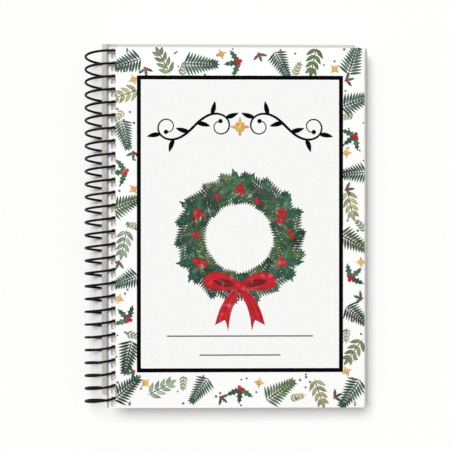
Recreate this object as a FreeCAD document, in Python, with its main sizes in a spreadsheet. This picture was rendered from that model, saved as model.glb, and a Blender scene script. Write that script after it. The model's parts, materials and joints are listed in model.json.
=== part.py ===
import FreeCAD, Part
import Sketcher
import math
import os

# A coil-bound book of gift card pockets, lying on its back.
#
# The book frame has its origin on the coil's axis, level with the middle of the front cover. X runs from the
# spine to the fore edge, Y up the spine and Z out of the front cover. A leaf's own frame has its origin in
# the middle of its row of holes and of its thickness. Angles round the coil run from +X towards +Z.

SIZES = (
    ("cover_width", 127.0, "front cover and pages, from spine edge to fore edge"),
    ("cover_height", 177.8, "every leaf, along the spine"),
    ("cover_thickness", 0.5, "front and back cover"),
    ("back_cover_width", 129.0, "back cover, from spine edge to fore edge"),
    ("corner_radius", 0.8, "corners of every leaf"),
    ("page_count", 7, "leaves with a pocket"),
    ("page_thickness", 0.35, "sheet of a page"),
    ("leaf_gap", 0.28, "air between a leaf and the next"),
    ("wire_diameter", 1.2, "coil wire"),
    ("coil_pitch", 6.35, "one turn of the coil, and one hole"),
    ("hole_clearance", 0.3, "between the wire and the edge of a hole, when a leaf lies flat"),
    ("hole_corner_radius", 0.8, "corners of a punched hole"),
    ("hole_end_margin", 0.6, "least card between the end holes and the head or foot of a leaf"),
    ("hole_margin", 3.3, "middle of the holes to the spine edge of a leaf"),
    ("back_hole_margin", 5.7, "middle of the holes to the spine edge of the back cover"),
    ("front_hole_angle", 42.0, "where the wire meets the front cover, above the coil's axis"),
    ("back_hole_angle", 58.0, "where the wire meets the back cover, below the coil's axis"),
    ("back_cover_rise", 2.6, "how far the back cover sits up the spine in the slack of its holes"),
    ("first_tail_angle", 39.0, "wire before the first hole of the back cover"),
    ("last_tail_angle", 280.0, "wire past the last turn's level with the axis"),
    ("card_length", 85.6, "gift card"),
    ("card_thickness", 0.76, "gift card"),
    ("card_side_clearance", 1.2, "beside a card in its pocket"),
    ("card_thickness_clearance", 0.09, "over a card in its pocket"),
    ("pocket_depth", 42.0, "part of a card that the pocket covers"),
    ("pocket_foot", 34.0, "pocket panel to the foot of the page"),
    ("panel_thickness", 0.25, "pocket panel"),
    ("panel_corner_radius", 3.0, "pocket panel"),
    ("thumb_radius", 10.0, "thumb notch of a pocket panel"),
    ("tape_width", 5.0, "strip of foam tape"),
    ("tape_inset", 1.0, "strip of tape to the edge of its panel"),
    ("tape_joint", 0.5, "between two strips of tape"),
)

PIECES_PER_TURN = 4
POINTS_PER_TURN = 24

doc = FreeCAD.newDocument("gift_card_book")


def fill_sheet():
    """The sheet of driving dimensions, in millimetres and degrees, one alias per row."""
    sheet = doc.addObject("Spreadsheet::Sheet", "sizes")
    for row, (alias, value, note) in enumerate(SIZES, start=1):
        sheet.set(f"A{row}", alias)
        sheet.set(f"B{row}", str(value))
        sheet.setAlias(f"B{row}", alias)
        sheet.set(f"C{row}", note)
    doc.recompute()
    return sheet


sheet = fill_sheet()


def size(alias):
    """A driving dimension as a number."""
    return float(sheet.get(alias))


def number_of(expression):
    """An expression on the sheet as a number."""
    return float(sheet.evalExpression(expression))


# Sizes that follow from the driving ones, as expressions on the sheet.
HOLE_LENGTH = "(sizes.wire_diameter + sizes.coil_pitch / 2 + 2 * sizes.hole_clearance)"
HOLE_ROOM = f"(sizes.cover_height - 2 * sizes.hole_end_margin - {HOLE_LENGTH})"
HOLE_COUNT = f"(floor({HOLE_ROOM} / sizes.coil_pitch) + 1)"
TAPE_THICKNESS = "(sizes.card_thickness + sizes.card_thickness_clearance)"
TAPE_BORDER = "(sizes.tape_inset + sizes.tape_width)"
PANEL_WIDTH = f"(sizes.card_length + 2 * sizes.card_side_clearance + 2 * {TAPE_BORDER})"
PANEL_HEIGHT = f"(sizes.pocket_depth + {TAPE_BORDER})"

# The same sizes as numbers, where a placement or the coil needs them.
wire = size("wire_diameter")
pitch = size("coil_pitch")
cover = size("cover_thickness")
page = size("page_thickness")
hole_count = int(number_of(HOLE_COUNT))
tape_thickness = number_of(TAPE_THICKNESS)
panel_height = number_of(PANEL_HEIGHT)
page_step = page + tape_thickness + size("panel_thickness") + size("leaf_gap")
page_count = int(size("page_count"))

# The covers lie where the wire crosses them, so the height of the stack sets the size of the coil.
front_angle = math.radians(size("front_hole_angle"))
back_angle = math.radians(size("back_hole_angle"))
stack_height = cover + page_count * page_step + size("leaf_gap")
coil_radius = stack_height / (math.sin(front_angle) + math.sin(back_angle))
coil_reach = coil_radius + wire / 2

# A leaf that turns right over passes half a pitch of wire. At rest the wire is a quarter pitch up its hole.
wire_rise = pitch / 4
wire_at_axis = (hole_count - 1) / 2 * pitch + wire_rise + pitch * front_angle / math.tau


def wire_span(height, thickness):
    """Nearest and furthest distance from the axis, along X, of the wire inside a leaf at this height."""
    near_face = max(abs(height) - thickness / 2, 0)
    far_face = abs(height) + thickness / 2
    nearest = math.sqrt((coil_radius - wire / 2) ** 2 - far_face**2)
    furthest = math.sqrt(coil_reach**2 - near_face**2)
    return nearest, furthest


def leaf_place(height, thickness):
    """The middle of a leaf's row of holes, in the book frame, for a leaf at this height over the axis."""
    along = pitch * (front_angle - math.asin(height / coil_radius)) / math.tau
    return FreeCAD.Vector(sum(wire_span(height, thickness)) / 2, along, height)


front_height = coil_radius * math.sin(front_angle)
first_page_height = front_height - (cover - page) / 2 - page_step
page_heights = [first_page_height - number * page_step for number in range(page_count)]
front_place = leaf_place(front_height, cover)
page_places = [leaf_place(height, page) for height in page_heights]
back_place = leaf_place(front_height - stack_height, cover) + FreeCAD.Vector(0, size("back_cover_rise"), 0)


def resting_tilt():
    """Turn about the coil's axis, in radians, that levels the coil and the back cover's fore edge."""
    fore_edge = back_place.x - size("back_hole_margin") + size("back_cover_width")
    depth = cover / 2 - back_place.z
    return math.asin(coil_reach / math.hypot(fore_edge, depth)) - math.atan2(depth, fore_edge)


def book_place():
    """Places the book frame so that the middle of the lying book's footprint is the origin."""
    tilt = resting_tilt()
    fore_edges = [
        (place.x - size("hole_margin") + size("cover_width")) * math.cos(tilt) + place.z * math.sin(tilt)
        for place in [front_place, *page_places]
    ]
    half_height = size("cover_height") / 2
    middle_x = (max(fore_edges) - coil_reach) / 2
    middle_y = (back_place.y + half_height + front_place.y - half_height) / 2
    turn = FreeCAD.Rotation(FreeCAD.Vector(0, 1, 0), math.degrees(tilt))
    return FreeCAD.Placement(FreeCAD.Vector(-middle_x, -middle_y, coil_reach), turn)


book = book_place()


def placed(place):
    """The placement in the lying book of a frame at this place in the book frame."""
    return book.multiply(FreeCAD.Placement(place, FreeCAD.Rotation()))


def flat_sketch(body, name):
    """An empty sketch on the XY plane of a body."""
    sketch = body.newObject("Sketcher::SketchObject", name)
    plane = next(item for item in body.Origin.OriginFeatures if item.Role == "XY_Plane")
    sketch.AttachmentSupport = (plane, [""])
    sketch.MapMode = "FlatFace"
    return sketch


def drive(sketch, name, expression, *constraint):
    """Adds a dimension to a sketch and binds it to an expression on the sheet."""
    index = sketch.addConstraint(Sketcher.Constraint(*constraint, number_of(expression)))
    sketch.renameConstraint(index, name)
    sketch.setExpression(f"Constraints.{name}", expression)


def draw_plate(sketch, left, right, half_height, corner):
    """A rectangle with rounded corners, from left of the origin to right of it, level with it in height."""
    radius = number_of(corner)
    low_x = radius - number_of(left)
    high_x = number_of(right) - radius
    high_y = number_of(half_height) - radius
    middles = [
        FreeCAD.Vector(low_x, -high_y, 0),
        FreeCAD.Vector(high_x, -high_y, 0),
        FreeCAD.Vector(high_x, high_y, 0),
        FreeCAD.Vector(low_x, high_y, 0),
    ]
    up = FreeCAD.Vector(0, 0, 1)
    for side, (start, end) in enumerate(zip(middles, middles[1:] + middles[:1])):
        turn = (side - 1) * math.pi / 2
        outward = FreeCAD.Vector(radius * math.cos(turn), radius * math.sin(turn), 0)
        sketch.addGeometry(Part.LineSegment(start + outward, end + outward))
        sketch.addGeometry(Part.ArcOfCircle(Part.Circle(end, up, radius), turn, turn + math.pi / 2))
    for piece in range(8):
        sketch.addConstraint(Sketcher.Constraint("Tangent", piece, 2, (piece + 1) % 8, 1))
    for side in range(4):
        sketch.addConstraint(Sketcher.Constraint("Vertical" if side % 2 else "Horizontal", 2 * side))
    for side in range(1, 4):
        sketch.addConstraint(Sketcher.Constraint("Equal", 1, 2 * side + 1))
    drive(sketch, "corner", corner, "Radius", 1)
    drive(sketch, "left", left, "DistanceX", 6, 1, -1, 1)
    drive(sketch, "right", right, "DistanceX", -1, 1, 2, 1)
    drive(sketch, "below", half_height, "DistanceY", 0, 1, -1, 1)
    drive(sketch, "above", half_height, "DistanceY", -1, 1, 4, 1)


def add_pad(body, sketch, thickness, side_type):
    """Pads a sketch to the thickness of its sheet."""
    pad = body.newObject("PartDesign::Pad", f"{body.Name}_pad")
    pad.Profile = sketch
    pad.SideType = side_type
    pad.setExpression("Length", thickness)
    pad.recompute(True)


def cut_through(body, sketch):
    """Cuts a sketch through the whole thickness of its sheet."""
    pocket = body.newObject("PartDesign::Pocket", f"{body.Name}_cut")
    pocket.Profile = sketch
    pocket.Type = "ThroughAll"
    pocket.SideType = "Symmetric"
    return pocket


def make_leaf(label, width, thickness, margin, place):
    """A sheet with its row of punched holes."""
    body = doc.addObject("PartDesign::Body", label)
    outline = flat_sketch(body, f"{label}_outline")
    draw_plate(outline, margin, f"{width} - {margin}", "sizes.cover_height / 2", "sizes.corner_radius")
    add_pad(body, outline, thickness, "Symmetric")
    hole = flat_sketch(body, f"{label}_hole")
    hole.setExpression("AttachmentOffset.Base.y", f"-({HOLE_COUNT} - 1) / 2 * sizes.coil_pitch")
    nearest, furthest = wire_span(place.z, number_of(thickness))
    half_width = f"{(furthest - nearest) / 2} + sizes.hole_clearance"
    draw_plate(hole, half_width, half_width, f"{HOLE_LENGTH} / 2", "sizes.hole_corner_radius")
    cut = cut_through(body, hole)
    row = body.newObject("PartDesign::LinearPattern", f"{label}_row")
    row.Originals = [cut]
    row.Direction = (hole, ["V_Axis"])
    row.Mode = "Spacing"
    row.setExpression("Offset", "sizes.coil_pitch")
    row.setExpression("Occurrences", HOLE_COUNT)
    body.Tip = row
    body.Placement = placed(place)
    return body


def make_panel(label, place):
    """The paper front of a pocket, with a thumb notch in its upper edge."""
    body = doc.addObject("PartDesign::Body", label)
    outline = flat_sketch(body, f"{label}_outline")
    half_width = f"{PANEL_WIDTH} / 2"
    draw_plate(outline, half_width, half_width, f"{PANEL_HEIGHT} / 2", "sizes.panel_corner_radius")
    add_pad(body, outline, "sizes.panel_thickness", "One side")
    notch = flat_sketch(body, f"{label}_notch")
    centre = FreeCAD.Vector(0, panel_height / 2, 0)
    notch.addGeometry(Part.Circle(centre, FreeCAD.Vector(0, 0, 1), size("thumb_radius")))
    notch.addConstraint(Sketcher.Constraint("PointOnObject", 0, 3, -2))
    drive(notch, "height", f"{PANEL_HEIGHT} / 2", "DistanceY", -1, 1, 0, 3)
    drive(notch, "radius", "sizes.thumb_radius", "Radius", 0)
    cut_through(body, notch)
    body.Placement = placed(place)
    return body


def make_strip(label, length, width, left, foot):
    """One strip of tape, placed in the frame of its panel's middle."""
    strip = doc.addObject("Part::Box", label)
    strip.setExpression("Length", length)
    strip.setExpression("Width", width)
    strip.setExpression("Height", TAPE_THICKNESS)
    strip.setExpression("Placement.Base.x", left)
    strip.setExpression("Placement.Base.y", foot)
    return strip


def make_tape(label, place):
    """Three strips that hold a panel off its page by a card's thickness: left, right and foot."""
    inner_left = f"{TAPE_BORDER} - {PANEL_WIDTH} / 2"
    outer_left = f"sizes.tape_inset - {PANEL_WIDTH} / 2"
    foot = f"sizes.tape_inset - {PANEL_HEIGHT} / 2"
    side_length = "sizes.pocket_depth - sizes.tape_inset - sizes.tape_joint"
    side_foot = f"{foot} + sizes.tape_width + sizes.tape_joint"
    strips = [
        make_strip(f"{label}_left", "sizes.tape_width", side_length, outer_left, side_foot),
        make_strip(f"{label}_right", "sizes.tape_width", side_length, f"-({inner_left})", side_foot),
        make_strip(f"{label}_foot", f"-2 * ({outer_left})", "sizes.tape_width", outer_left, foot),
    ]
    tape = doc.addObject("Part::Compound", label)
    tape.Links = strips
    tape.recompute(True)
    tape.Placement = placed(place)
    return tape


def wire_point(angle):
    """The middle of the wire at this angle round the coil, counted on through the turns."""
    return FreeCAD.Vector(
        coil_radius * math.cos(angle), wire_at_axis - pitch * angle / math.tau, coil_radius * math.sin(angle)
    )


def wire_direction(angle):
    """The direction of the wire at this angle, towards the foot of the spine."""
    direction = FreeCAD.Vector(
        -coil_radius * math.sin(angle), -pitch / math.tau, coil_radius * math.cos(angle)
    )
    return direction.normalize()


def tangent_arc(start, corner, end):
    """The arc from start to end whose tangents there meet at corner, at equal distances from both."""
    chord_middle = (start + end) / 2
    bend = (corner - start).getAngle(end - start)
    crown = chord_middle + (corner - chord_middle) * (math.tan(bend / 2) / math.tan(bend))
    return Part.Arc(start, crown, end).toShape()


def biarc(first, last):
    """Two arcs along the coil from one angle to another, with the coil's direction at both ends."""
    start, end = wire_point(first), wire_point(last)
    span = end - start
    lead_in, lead_out = wire_direction(first), wire_direction(last)
    turn = lead_in + lead_out
    across = span.dot(turn)
    slack = 4 - turn.dot(turn)
    arm = (math.sqrt(across**2 + slack * span.dot(span)) - across) / slack
    corner_in, corner_out = start + lead_in * arm, end - lead_out * arm
    joint = (corner_in + corner_out) / 2
    return [tangent_arc(start, corner_in, joint), tangent_arc(joint, corner_out, end)]


def print_wire_gap(first, last):
    """Prints the least gap between turns of the wire, on points along its middle line."""
    count = round((last - first) / math.tau * POINTS_PER_TURN)
    points = [wire_point(first + (last - first) * number / count) for number in range(count + 1)]
    least = min(
        points[one].distanceToPoint(points[other])
        for one in range(count + 1)
        for other in range(one + POINTS_PER_TURN // 2, count + 1)
    )
    print(f"coil: radius {coil_radius:.3f} mm, {hole_count} turns, least gap {least - wire:.3f} mm")


def make_coil(label):
    """One unbroken wire from under the back cover's first hole to under it past the last hole."""
    first = -back_angle - math.radians(size("first_tail_angle"))
    last = (hole_count - 1) * math.tau + math.radians(size("last_tail_angle"))
    print_wire_gap(first, last)
    count = round((last - first) / math.tau * PIECES_PER_TURN)
    stops = [first + (last - first) * number / count for number in range(count + 1)]
    edges = [edge for one, other in zip(stops, stops[1:]) for edge in biarc(one, other)]
    path = Part.Wire(edges)
    profile = Part.Wire([Part.makeCircle(wire / 2, wire_point(first), wire_direction(first))])
    coil = doc.addObject("Part::Feature", label)
    coil.Shape = path.makePipeShell([profile], True, False)
    expected = math.pi * (wire / 2) ** 2 * path.Length
    print(f"coil: volume {coil.Shape.Volume:.3f} mm3, section times length {expected:.3f} mm3")
    coil.Placement = book
    return coil


def make_page(number, place):
    """A page with its pocket: the sheet, the tape on it and the panel on the tape."""
    pocket_middle = FreeCAD.Vector(
        (size("cover_width") - size("hole_margin")) / 2,
        size("pocket_foot") + (panel_height - size("cover_height")) / 2,
        page / 2,
    )
    over_tape = FreeCAD.Vector(0, 0, tape_thickness)
    sheet_sizes = "sizes.cover_width", "sizes.page_thickness", "sizes.hole_margin"
    return [
        make_leaf(f"page_{number}", *sheet_sizes, place),
        make_tape(f"pocket_tape_{number}", place + pocket_middle),
        make_panel(f"pocket_panel_{number}", place + pocket_middle + over_tape),
    ]


def make_book():
    """The coil, both covers and every page with its pocket."""
    back_sizes = "sizes.back_cover_width", "sizes.cover_thickness", "sizes.back_hole_margin"
    front_sizes = "sizes.cover_width", "sizes.cover_thickness", "sizes.hole_margin"
    parts = [
        make_coil("coil_binding"),
        make_leaf("back_cover", *back_sizes, back_place),
        make_leaf("front_cover", *front_sizes, front_place),
    ]
    for number, place in enumerate(page_places, start=1):
        parts += make_page(number, place)
    doc.recompute()
    return parts


def write_parts(parts):
    """Writes each sub-part to its own file, once every object of the document is sound."""
    for item in doc.Objects:
        if "Invalid" in item.State or "Error" in item.State:
            raise RuntimeError(f"{item.Label} is {item.State}")
    for item in parts:
        if item.Shape.isNull() or not item.Shape.isValid():
            raise RuntimeError(f"{item.Label} has no sound shape")
    os.makedirs("parts", exist_ok=True)
    for item in parts:
        item.Shape.exportStep(f"parts/{item.Label}.step")
    axis = book.Base
    tilt = math.degrees(resting_tilt())
    print(f"book: {len(parts)} parts, coil axis at {axis.x:.4f}, {axis.y:.4f}, {axis.z:.4f}, tilt {tilt:.4f}")


write_parts(make_book())
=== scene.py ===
# %% [markdown]
# A coil-bound gift card book
#
# The book lies on its back and is seen straight from above: a printed card cover, a black wire coil down
# the left side, and the edges of the pages that hold the cards. The solids of the covers, pages and pockets
# come ready made. This lesson gives them their finishes, winds a smooth wire, and lays the print on the
# cover as thin patches of ink, because a printed edge stays sharp at any distance when it is geometry.

# %% Load the frame
import json
import math

import bmesh
import bpy
import numpy as np
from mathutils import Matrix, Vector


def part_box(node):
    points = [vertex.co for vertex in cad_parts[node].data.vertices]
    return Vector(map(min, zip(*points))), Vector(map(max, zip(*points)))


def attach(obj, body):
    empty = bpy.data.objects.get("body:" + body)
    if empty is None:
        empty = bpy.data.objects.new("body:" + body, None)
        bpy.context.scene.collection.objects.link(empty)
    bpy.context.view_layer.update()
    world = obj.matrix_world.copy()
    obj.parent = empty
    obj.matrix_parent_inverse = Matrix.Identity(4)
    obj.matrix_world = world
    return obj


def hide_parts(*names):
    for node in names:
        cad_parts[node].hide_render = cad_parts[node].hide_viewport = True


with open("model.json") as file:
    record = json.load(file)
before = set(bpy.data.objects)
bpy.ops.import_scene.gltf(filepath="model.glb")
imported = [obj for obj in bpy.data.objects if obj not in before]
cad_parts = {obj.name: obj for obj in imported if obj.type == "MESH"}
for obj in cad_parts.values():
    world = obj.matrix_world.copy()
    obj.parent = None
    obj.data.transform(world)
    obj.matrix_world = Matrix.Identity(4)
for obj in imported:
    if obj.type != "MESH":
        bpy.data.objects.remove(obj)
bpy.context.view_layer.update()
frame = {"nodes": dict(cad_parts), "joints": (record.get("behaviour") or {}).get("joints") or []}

MM = 0.001
PAGES = sum(name.startswith("page_") for name in frame["nodes"])
print("frame:", len(frame["nodes"]), "nodes,", PAGES, "pages")

# %% [markdown]
# Every sheet of the book leans a little, since the coil is thicker than the stack at the fore edge. The
# angle could be written down again here, but it would be wrong as soon as the book changed, so it is read
# from the front cover: the mean of its upward faces, weighed by their areas, points straight out of the
# sheet. Prints are laid out flat, in distances across and along the sheet, and leaned over as one.

# %% Lean of the sheets
def measured(elements, name, width):
    """One property of every element of a mesh, in rows of this width."""
    values = np.empty(width * len(elements))
    elements.foreach_get(name, values)
    return values.reshape(-1, width)


cover_faces = frame["nodes"]["front_cover"].data.polygons
normals = measured(cover_faces, "normal", 3)
faces_up = normals[:, 2] > 0.5
up = (normals * measured(cover_faces, "area", 1))[faces_up].sum(0)
up /= np.linalg.norm(up)
along = np.array([0.0, 1.0, 0.0])
across = np.cross(along, up)
leaf_axes = np.stack([across, along, up])
lean = math.asin(up[0])


def sheet_reach(node):
    """Lowest and highest corner of a sheet along its own axes: across, along and up."""
    reach = measured(frame["nodes"][node].data.vertices, "co", 3) @ leaf_axes.T
    return reach.min(0), reach.max(0)


def on_leaf(across_sheet, along_sheet, lift):
    """Points of the book: each distance on the sheet times that axis of the sheet, added up."""
    return np.stack(np.broadcast_arrays(across_sheet, along_sheet, lift), -1) @ leaf_axes


cover_low, cover_high = sheet_reach("front_cover")
print("lean of the sheets, degrees:", round(math.degrees(lean), 3))
print("front cover, mm:", np.round((cover_high - cover_low) / MM, 2))

# %% [markdown]
# The camera looks straight down, as the photograph does. It could be nudged until the picture fits, but the
# cover's edges in the picture fix everything except its distance: the scale comes from the cover's width,
# and the middle from where the cover sits. The distance is the one at which the lower sheets show as far
# beyond the cover as they do there.

# %% Camera
PICTURE_SIZE = 450
COVER_LEFT_PX, COVER_RIGHT_PX = 107.4, 364.8
COVER_TOP_PX, COVER_FOOT_PX = 47.5, 407.7
CAMERA_DISTANCE = 400 * MM
SENSOR = 36.0

px = (cover_high[0] - cover_low[0]) / (COVER_RIGHT_PX - COVER_LEFT_PX)


def across_at(column):
    """Across the cover, at a column of the picture."""
    return cover_low[0] + (column - COVER_LEFT_PX) * px


def along_at(row):
    """Along the cover, at a row of the picture."""
    middle = (cover_low[1] + cover_high[1]) / 2
    return middle - (row - (COVER_TOP_PX + COVER_FOOT_PX) / 2) * px


half_picture = PICTURE_SIZE / 2
aim = on_leaf(across_at(half_picture), along_at(half_picture), cover_high[2])
camera_data = bpy.data.cameras.new("camera")
camera_data.sensor_width = SENSOR
camera_data.lens = SENSOR * CAMERA_DISTANCE / (PICTURE_SIZE * px)
camera = bpy.data.objects.new("camera", camera_data)
camera.location = aim + [0, 0, CAMERA_DISTANCE]
bpy.context.scene.collection.objects.link(camera)
bpy.context.scene.camera = camera
print("camera over", np.round(aim / MM, 2), "mm, lens", round(camera_data.lens, 2), "mm")

# %% [markdown]
# New pieces are grids of points. Blender's own shapes could be bent into place one by one, but a grid is a
# formula, so a curve is exact and a change is one number. A helper turns one or more grids into a mesh:
# each is an array of rows by columns, and its faces are numbered as an array too. Colours, where a piece
# has them, are kept on the points, so a leaf can darken towards its edge without any picture.

# %% From grids to meshes
def grid_faces(rows, columns, ring=False):
    """Corner numbers of the quads of a grid; a ring also joins its last column to its first."""
    numbers = np.arange(rows * columns).reshape(rows, columns)
    if ring:
        numbers = np.concatenate([numbers, numbers[:, :1]], 1)
    corners = [numbers[:-1, :-1], numbers[:-1, 1:], numbers[1:, 1:], numbers[1:, :-1]]
    return np.stack(corners, -1).reshape(-1, 4)


def make_piece(name, points, faces, material, body, colours=None, smooth=False):
    """A mesh object at the origin, with its place in its points, that rides on a CAD body."""
    mesh = bpy.data.meshes.new(name)
    mesh.from_pydata(points.reshape(-1, 3).tolist(), [], [list(face) for face in faces])
    mesh.polygons.foreach_set("use_smooth", np.full(len(mesh.polygons), smooth))
    if colours is not None:
        ink = mesh.color_attributes.new("ink", "FLOAT_COLOR", "POINT")
        opaque = np.concatenate([colours, np.ones((len(colours), 1))], 1)
        ink.data.foreach_set("color", opaque.astype(np.float32).ravel())
    mesh.materials.append(material)
    mesh.update()
    piece = bpy.data.objects.new(name, mesh)
    bpy.context.scene.collection.objects.link(piece)
    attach(piece, body)
    return piece


def thicken(piece, thickness):
    """Makes a patch a closed sheet, from its printed face down."""
    solid = piece.modifiers.new("thickness", "SOLIDIFY")
    solid.thickness = thickness
    solid.offset = -1


print("faces of a grid of 3 by 4:", len(grid_faces(3, 4)), "or as a ring:", len(grid_faces(3, 4, True)))

# %% [markdown]
# A finish is a few nodes in front of one shader. They could be set up by hand for each material, but card,
# ink, foam and wire all need the same steps: a noise of a known grain, a range to map it to, a colour times
# a shade, a mix of two colours, and a relief. As small functions these read like a recipe. Noise is taken
# on Object coordinates, in metres, so a grain keeps its size on every sheet.

# %% Steps of a finish
def new_material(name):
    """A node material: itself, its node tree, and the principled shader that it ends in."""
    material = bpy.data.materials.new(name)
    material.use_nodes = True
    return material, material.node_tree, material.node_tree.nodes["Principled BSDF"]


def add_noise(tree, grain, stretch=(1, 1, 1), detail=4.0):
    """Noise with features about one grain across, in metres, stretched along an axis."""
    place = tree.nodes.new("ShaderNodeTexCoord")
    mapping = tree.nodes.new("ShaderNodeMapping")
    mapping.inputs["Scale"].default_value = stretch
    noise = tree.nodes.new("ShaderNodeTexNoise")
    noise.inputs["Scale"].default_value = 1 / grain
    noise.inputs["Detail"].default_value = detail
    tree.links.new(place.outputs["Object"], mapping.inputs["Vector"])
    tree.links.new(mapping.outputs["Vector"], noise.inputs["Vector"])
    return noise.outputs["Fac"]


def add_range(tree, value, low, high):
    """A value from 0 to 1 mapped to the range from low to high."""
    spread = tree.nodes.new("ShaderNodeMapRange")
    spread.inputs["To Min"].default_value = low
    spread.inputs["To Max"].default_value = high
    tree.links.new(value, spread.inputs["Value"])
    return spread.outputs["Result"]


def add_shade(tree, colour, shade):
    """A colour, a socket or three numbers, times a grey value."""
    scaled = tree.nodes.new("ShaderNodeVectorMath")
    scaled.operation = "SCALE"
    if isinstance(colour, tuple):
        scaled.inputs[0].default_value = colour
    else:
        tree.links.new(colour, scaled.inputs[0])
    tree.links.new(shade, scaled.inputs["Scale"])
    return scaled.outputs["Vector"]


def add_mix(tree, share, first, second):
    """Two colours, sockets or four numbers, mixed: none of the second at a share of 0, all of it at 1."""
    mixed = tree.nodes.new("ShaderNodeMix")
    mixed.data_type = "RGBA"
    tree.links.new(share, mixed.inputs["Factor"])
    for name, colour in (("A", first), ("B", second)):
        if isinstance(colour, tuple):
            mixed.inputs[name].default_value = colour
        else:
            tree.links.new(colour, mixed.inputs[name])
    return mixed.outputs["Result"]


def finish(tree, shader, colour, roughness, height, depth):
    """Colour and roughness sockets to a shader, and a height to its relief, of this depth in metres."""
    bump = tree.nodes.new("ShaderNodeBump")
    bump.inputs["Distance"].default_value = depth
    tree.links.new(height, bump.inputs["Height"])
    tree.links.new(bump.outputs["Normal"], shader.inputs["Normal"])
    tree.links.new(colour, shader.inputs["Base Color"])
    tree.links.new(roughness, shader.inputs["Roughness"])


print("a grain of 1 mm is a noise scale of", round(1 / MM))

# %% [markdown]
# Where the sheets meet in the binding and at the fore edge, the gaps between them lie in shade. That shade is
# painted into the card as brown along a soft line: at the front cover's spine edge, on the back cover just
# beside it, and at the pages' fore edges. It could be painted on the points of a mesh, but a plain sheet has
# none in its middle. Here it is a distance: a point's place across the book, less that of the edge, without
# its sign, decides how much of the brown is mixed in.

# %% Painted shade along edges
# Brown of the painted shade in the gaps between sheets.
PAINTED_SHADE_BROWN = (0.085, 0.066, 0.058, 1)


def add_painted_shade(tree, colour, line, reach, depth):
    """A colour with a share of painted shade brown: depth along the line x = line, and none from one reach
    away.
    """
    place = tree.nodes.new("ShaderNodeTexCoord")
    split = tree.nodes.new("ShaderNodeSeparateXYZ")
    offset = tree.nodes.new("ShaderNodeMath")
    offset.operation = "SUBTRACT"
    offset.inputs[1].default_value = line
    distance = tree.nodes.new("ShaderNodeMath")
    distance.operation = "ABSOLUTE"
    ramp = tree.nodes.new("ShaderNodeMapRange")
    ramp.interpolation_type = "SMOOTHSTEP"
    ramp.inputs["From Max"].default_value = reach
    ramp.inputs["To Min"].default_value = depth
    ramp.inputs["To Max"].default_value = 0
    tree.links.new(place.outputs["Object"], split.inputs["Vector"])
    tree.links.new(split.outputs["X"], offset.inputs[0])
    tree.links.new(offset.outputs["Value"], distance.inputs[0])
    tree.links.new(distance.outputs["Value"], ramp.inputs["Value"])
    return add_mix(tree, ramp.outputs["Result"], colour, PAINTED_SHADE_BROWN)


spine_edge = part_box("front_cover")[0][0]
fore_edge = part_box("page_2")[1][0]
# Painted shade: the cover's spine edge, the back cover beside it and the pages' fore edges darken where gaps
# lie in shade.
cover_painted_shade = dict(line=spine_edge, reach=1.3 * MM, depth=0.95)
back_painted_shade = dict(line=spine_edge - 1.2 * MM, reach=2.2 * MM, depth=0.4)
page_painted_shade = dict(line=fore_edge, reach=2.4 * MM, depth=0.55)
print("painted_shade lines, mm:", [round(shade_line["line"] / MM, 2) for shade_line in (cover_painted_shade, back_painted_shade, page_painted_shade)])

# %% [markdown]
# Paper is never one flat white. Its tone drifts a little over a few centimetres, fibres a fraction of a
# millimetre long make a faint relief, and the same fibres scatter the shine. A scanned sheet could show all
# this, but only at one size, so drift and fibres are noise. The covers and pages already have their true
# shape, so they keep their solids, and only get a finish: white card, warm pages, and for the back a grey
# card whose grey is painted shade, as the back lies in shade under the book.

# %% Paper and card
FIBRE = 0.5 * MM
FIBRE_STRETCH = (1, 0.45, 1)
DRIFT = 28 * MM
DRIFT_SHADE = 0.03
FIBRE_SHADE = 0.045
FIBRE_SHINE = 0.08
CARD_RELIEF = 0.012 * MM


def add_fibres(tree, fibre=FIBRE):
    """Noise drawn out along the sheet, as fibres lie in paper."""
    return add_noise(tree, fibre, FIBRE_STRETCH, detail=6.0)


def add_around(tree, value, middle, spread):
    """A value from 0 to 1 mapped to a range that lies evenly about its middle."""
    return add_range(tree, value, middle - spread, middle + spread)


def make_paper(name, colour, roughness, relief=CARD_RELIEF, shade_line=None):
    """Card or paper: tone times a slow drift and its fibres, which are also in its relief and its shine, and
    an optional line of painted shade.
    """
    material, tree, shader = new_material(name)
    fibres = add_fibres(tree)
    drifted = add_shade(tree, colour, add_around(tree, add_noise(tree, DRIFT), 1, DRIFT_SHADE))
    tone = add_shade(tree, drifted, add_around(tree, fibres, 1, FIBRE_SHADE))
    # painted shade along an edge, where the gaps between sheets lie in shade
    if shade_line:
        tone = add_painted_shade(tree, tone, **shade_line)
    finish(tree, shader, tone, add_around(tree, fibres, roughness, FIBRE_SHINE), fibres, relief)
    return material


def dress(node, material):
    """Gives a CAD node one material."""
    materials = frame["nodes"][node].data.materials
    materials.clear()
    materials.append(material)


# Cover and pages carry painted shade along their edges.
dress("front_cover", make_paper("cover_card", (0.86, 0.855, 0.845), roughness=0.6, shade_line=cover_painted_shade))
# The back card's grey is painted shade: white card greyed for the shade the back lies in.
dress("back_cover", make_paper("back_card", (0.58, 0.55, 0.53), roughness=0.62, shade_line=back_painted_shade))
page_card = make_paper("page_card", (0.86, 0.845, 0.815), roughness=0.68, shade_line=page_painted_shade)
for number in range(1, PAGES + 1):
    dress(f"page_{number}", page_card)
print("dressed 2 covers and", PAGES, "pages")

# %% [markdown]
# The binding is one wire, wound like a spring through every hole. The solid's facets would show along its
# bends, so the wire is wound again, smooth. A curve object with a round bevel could do it, but a formula
# gives the points themselves: the wire goes round the axis and one pitch towards the foot in every turn.
# The coil's box gives its radius and its start, and the joints' axis its middle.

# %% Path of the wire
WIRE = 1.2 * MM
COIL_PITCH = 6.35 * MM
FIRST_TAIL = math.radians(97)
LAST_TAIL = math.radians(280)

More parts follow.
